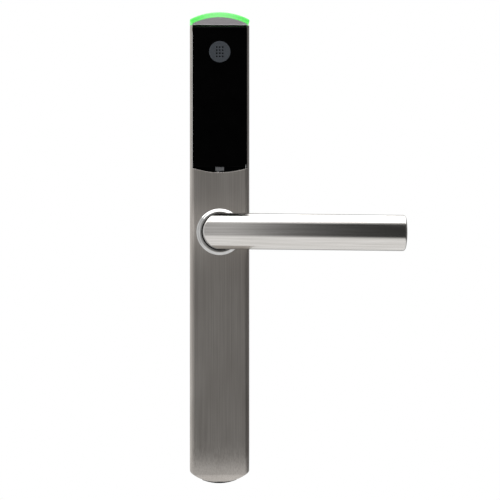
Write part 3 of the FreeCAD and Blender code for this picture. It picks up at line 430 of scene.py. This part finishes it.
bpy.ops.object.select_all(action="DESELECT")
bpy.ops.mesh.primitive_circle_add(vertices=TUBE_SIDES, radius=tube_radius, rotation=(math.pi / 2, 0, 0),
                                  location=(0, lever_high.y, 0))
lever = opened("lever_tube")
bpy.ops.mesh.extrude_edges_move(
    TRANSFORM_OT_translate={"value": (0, lever_low.y - tube_radius - lever_high.y, 0)})
bpy.ops.mesh.select_all(action="SELECT")
bpy.ops.mesh.bisect(plane_co=(0, grip_y, 0), plane_no=(1, -1, 0), clear_outer=True)
pick(lever, "EDGE", lambda p: abs(p.x - (p.y - grip_y)) < NEAR)
bpy.ops.mesh.extrude_edges_move(TRANSFORM_OT_translate={"value": (reach + 2 * tube_radius, 0, 0)})
bpy.ops.mesh.select_all(action="SELECT")
bpy.ops.mesh.bisect(plane_co=(reach, 0, 0), plane_no=(1, 0, 0), clear_outer=True, use_fill=True)
pick(lever, "EDGE", lambda p: abs(p.x - reach) < NEAR)
bpy.ops.mesh.bevel(offset=END_ROUND, segments=6)
pick(lever, "EDGE", lambda p: abs(p.x - (p.y - grip_y)) < NEAR)
bpy.ops.mesh.bevel(offset=MITRE_ROUND, segments=3)
closed(lever, lever_steel, EDGE_ANGLE)
print("lever outside:", len(lever.data.polygons), "faces")

# %% Lever wall and grub screw hole
wall = lever.modifiers.new("wall", "SOLIDIFY")
wall.thickness = WALL
wall.offset = -1
bpy.ops.object.modifier_apply(modifier=wall.name)
bpy.ops.mesh.primitive_cylinder_add(vertices=48, radius=GRUB_HOLE, depth=tube_radius,
                                    location=(0, grub_y, -tube_radius))
drill = bpy.context.object
bpy.ops.object.select_all(action="DESELECT")
lever.select_set(True)
bpy.context.view_layer.objects.active = lever
hole = lever.modifiers.new("grub_hole", "BOOLEAN")
hole.object = drill
hole.operation = "DIFFERENCE"
bpy.ops.object.modifier_apply(modifier=hole.name)
bpy.data.objects.remove(drill)
bpy.ops.object.mode_set(mode="EDIT")
bpy.ops.mesh.select_all(action="SELECT")
bpy.ops.transform.rotate(value=-DROOP, orient_axis="Y", center_override=(0, 0, 0))
bpy.ops.object.mode_set(mode="OBJECT")
bpy.ops.object.shade_smooth_by_angle(angle=math.radians(EDGE_ANGLE))
tip = min(v.co.z for v in lever.data.vertices if v.co.x > reach - 5 * MM)
print("the grip's end hangs to", round(tip / MM, 2), "mm")
join_frame(lever, "lever", "brushed_stainless_lever", "lever_handle")

# %% [markdown]
# ## The rose ring
# A chromed collar covers the hole round the lever's neck. It is a cone with a rounded nose: the cone
# turns its top to the soft box and its foot to the floor, so it is white above and grey below, and
# only the nose shows the front of the room. Pairs of distances in millimetres, inward from its rim
# and out from the plate, give its outline, and it is turned from that outline in one piece.

# %% Rose ring
ring_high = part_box("rose_ring")[1]
ring_outer = ring_high.x
ring_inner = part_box("bearing_bush")[1].x + 0.02 * MM
bush_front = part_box("bearing_bush")[0].y - 0.05 * MM
RING_LIP = 3.25
RING_WALL = 1.0 * MM
RING_PROFILE = [(0.0, 0.0), (0.0, 0.55), (0.12, 0.75), (0.95, 1.30), (1.75, 1.84), (1.92, 2.02),
                (2.05, 2.35), (2.20, 2.55), (2.45, 2.60), (2.85, 2.60), (3.10, 2.55), (RING_LIP, 2.35)]
profile = [(ring_outer - inward * MM, plate_front - proud * MM) for inward, proud in RING_PROFILE]
profile += [(ring_outer - RING_LIP * MM, bush_front), (ring_inner, bush_front), (ring_inner, ring_high.y)]
boss = ring_inner + RING_WALL
profile += [(boss, ring_high.y), (boss, plate_front)]
ring = turned("rose_collar", profile, chrome)
join_frame(ring, "door_plate", "polished_chrome_ring", "rose_ring")

# %% [markdown]
# ## Black acrylic, printed icon and lit bow
# The reader's window is black acrylic with a polished face. Acrylic bends light by 1.49. Its specular
# level is set far below bare acrylic's, as if it had an anti-glare coat, which is a guess. The icon is a
# grey print. The bow is clear acrylic lit from below by green lights: it glows, palest at the crown
# where the lights stand and deepest towards its ends.

# %% Window and icon
window_black, tree, shader, where = new_finish("polished_black_acrylic", "030304", 0.0, 0.08, IOR=1.49)
shader.inputs["Specular IOR Level"].default_value = 0.05
dress(tree, shader, grain(tree, where, (8, 8, 8), 3), ("010101", "030303"), (0.06, 0.11), 0.0004)
wear(window_black, "reader_window")

icon_print, tree, shader, where = new_finish("grey_printed_icon", "4d5156", 0.0, 0.5, IOR=1.45)
shader.inputs["Specular IOR Level"].default_value = 0.2
dress(tree, shader, grain(tree, where, (0.5, 0.5, 0.5), 4), ("44484d", "565b61"), (0.42, 0.58), 0.002)
wear(icon_print, "touch_icon")

# %% Lit green bow
BOW_GLOW = 0.62
green_bow, tree, shader, where = new_finish("lit_green_acrylic", "49d44e", 0.0, 0.25, IOR=1.49)
shader.inputs["Emission Strength"].default_value = BOW_GLOW
place = add(tree, "ShaderNodeSeparateXYZ", Vector=where).outputs
aside = add(tree, "ShaderNodeMath", {"operation": "ABSOLUTE"}, in0=place["X"])
spread = add(tree, "ShaderNodeMapRange", {"interpolation_type": "SMOOTHSTEP"}, Value=aside.outputs[0],
             From_Min=0.003, From_Max=0.019)
lamps = add(tree, "ShaderNodeMix", {"data_type": "RGBA"}, Factor=spread.outputs["Result"],
            A=linear("a4f6a5"), B=linear("66e86b"))
tree.links.new(lamps.outputs["Result"], shader.inputs["Emission Color"])
frost = grain(tree, where, (1.2, 1.2, 1.2), 4)
dress(tree, shader, frost, ("43cd48", "58de5c"), (0.20, 0.34), 0.003)
wear(green_bow, "status_light_guide")

# %% [markdown]
# The cap is bead-blasted aluminium with a pale grey anodised film, so its grain is fine and even.

# %% Satin cap
cap_metal, tree, shader, where = new_finish("satin_anodised_cap", "e2dee1", 0.9, 0.5)
dress(tree, shader, grain(tree, where, (0.35, 0.35, 0.35), 5), ("d8d4d7", "eae6e9"), (0.45, 0.55), 0.004)
wear(cap_metal, "top_cap")

# %% [markdown]
# ## Black mouldings, foam and sleeves
# Glass-filled nylon and ABS come out of the mould with a fine matt grain. The grain is about
# 0.1 mm; it is drawn at 0.3 mm, as fine as can show. The gasket is closed cell foam with cells of
# half a millimetre, and the leads have soft PVC sleeves.

# %% Mouldings and soft parts
def moulded(name, dark, light, roughness, grain_size, depth, *names):
    """A matt plastic between two shades, grain size and depth in mm, on the named nodes."""
    finish, tree, shader, where = new_finish(name, dark, 0.0, roughness, IOR=1.5)
    pattern = grain(tree, where, (grain_size,) * 3, 5)
    dress(tree, shader, pattern, (dark, light), (roughness - 0.06, roughness + 0.08), depth)
    wear(finish, *names)


moulded("moulded_black_nylon", "0b0b0c", "141415", 0.45, 0.3, 0.01,
        "bearing_bush", "bottom_plug", "cover_frame", "light_carrier", "motor_cradle")
moulded("moulded_black_abs", "151516", "1e1e20", 0.52, 0.3, 0.012, "battery_tray")
moulded("closed_cell_foam", "161617", "29292a", 0.88, 0.5, 0.12, "door_gasket")
moulded("white_acetal", "d9d9d4", "e6e6e1", 0.38, 0.4, 0.004, "clutch_slider")
moulded("black_epoxy_package", "121213", "1c1c1d", 0.5, 0.2, 0.006, "board_components", "contact_block")
moulded("green_solder_mask", "0b4a26", "11592f", 0.32, 1.2, 0.008,
        "control_board", "keypad_board", "led_board")
moulded("black_pvc_sleeve", "0e0e0f", "1a1a1b", 0.5, 0.6, 0.006, "battery_leads")
moulded("green_led_resin", "9fe8a3", "b9f2bc", 0.2, 1.0, 0.002, "status_leds")
print("mouldings ready")

# %% [markdown]
# ## Plated, cast, drawn and turned metal
# The parts inside and behind are ordinary hardware: zinc plate is bluish with a faint crystal
# cloud, a zinc casting is grey and slightly rough, wire has lines along it, turned steel has fine
# rings. Metals keep the default IOR, and their colour does the work.

# %% Hardware metals
def metal(name, dark, light, roughness, size, depth, *names):
    """A bare or plated metal between two shades, grains (x, y, z) and depth in mm, on the named nodes."""
    finish, tree, shader, where = new_finish(name, dark, 1.0, roughness)
    pattern = grain(tree, where, size, 5)
    dress(tree, shader, pattern, (dark, light), (roughness - 0.07, roughness + 0.09), depth)
    wear(finish, *names)


metal("bright_zinc_plate", "b4b9be", "ccd0d3", 0.34, (2.5, 2.5, 2.5), 0.004,
      "mounting_posts", "square_spindle")
# The backplate is zinc plated, but it is drawn nearly black: painted shade for the deep recess behind the
# reader's lower edge, where it shows.
metal("zinc_plate_in_painted_shade", "1b1c1e", "28292b", 0.45, (2.5, 2.5, 2.5), 0.004, "backplate")
metal("die_cast_zinc", "9c9d9f", "b3b4b6", 0.48, (0.6, 0.6, 0.6), 0.02, "bearing_housing")
metal("plated_screw_steel", "a5a6a8", "bcbdbe", 0.32, (0.5, 0.5, 0.5), 0.004,
      "housing_screws", "shell_screw", "board_screws", "lever_grub_screw")
metal("drawn_spring_wire", "8d8e91", "a3a4a6", 0.28, (0.25, 0.25, 3), 0.003,
      "return_spring", "latch_spring", "hub_circlip")
metal("nickel_contacts", "cfcac0", "ded9d0", 0.24, (0.8, 0.8, 0.8), 0.002,
      "contact_springs", "contact_plates")
metal("turned_steel", "aeafb2", "c3c4c6", 0.26, (6, 0.2, 6), 0.003, "drive_hub", "spindle_hub", "clutch_pin")
metal("brass", "c9a55a", "dab970", 0.28, (0.5, 0.5, 0.5), 0.003, "lead_screw", "board_standoffs")
metal("drawn_motor_can", "bcbdbf", "cccdce", 0.3, (4, 4, 0.25), 0.002, "clutch_motor")
metal("enamelled_copper", "c0703c", "d2834b", 0.3, (0.5, 0.5, 0.5), 0.002, "antenna_coil")
metal("satin_latch_steel", "a4a6a8", "babcbe", 0.42, (0.25, 0.25, 3), 0.004, "release_latch")
print("hardware finished")

# %% [markdown]
# ## Batteries
# A cell has a printed film sleeve with a coloured band at one end. Each cell stands upright, so the
# band is drawn by height.

# %% Battery sleeves
BAND_BELOW = 9 * MM
SLEEVE_BLACK, BAND_COPPER = "1b1c1f", "b8863a"
cell_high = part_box("battery_1")[1]
sleeve, tree, shader, where = new_finish("printed_battery_sleeve", SLEEVE_BLACK, 0.0, 0.22, IOR=1.5)
height = add(tree, "ShaderNodeSeparateXYZ", Vector=where).outputs["Z"]
banded = add(tree, "ShaderNodeMath", {"operation": "GREATER_THAN"}, in0=height,
             in1=cell_high.z - BAND_BELOW)
print_colour = add(tree, "ShaderNodeMix", {"data_type": "RGBA"}, Factor=banded.outputs[0],
                   A=linear(SLEEVE_BLACK), B=linear(BAND_COPPER))
tree.links.new(print_colour.outputs["Result"], shader.inputs["Base Color"])
dress(tree, shader, grain(tree, where, (3, 3, 0.8), 3), roughness=(0.16, 0.30), depth=0.003)
wear(sleeve, "battery_1", "battery_2", "battery_3")
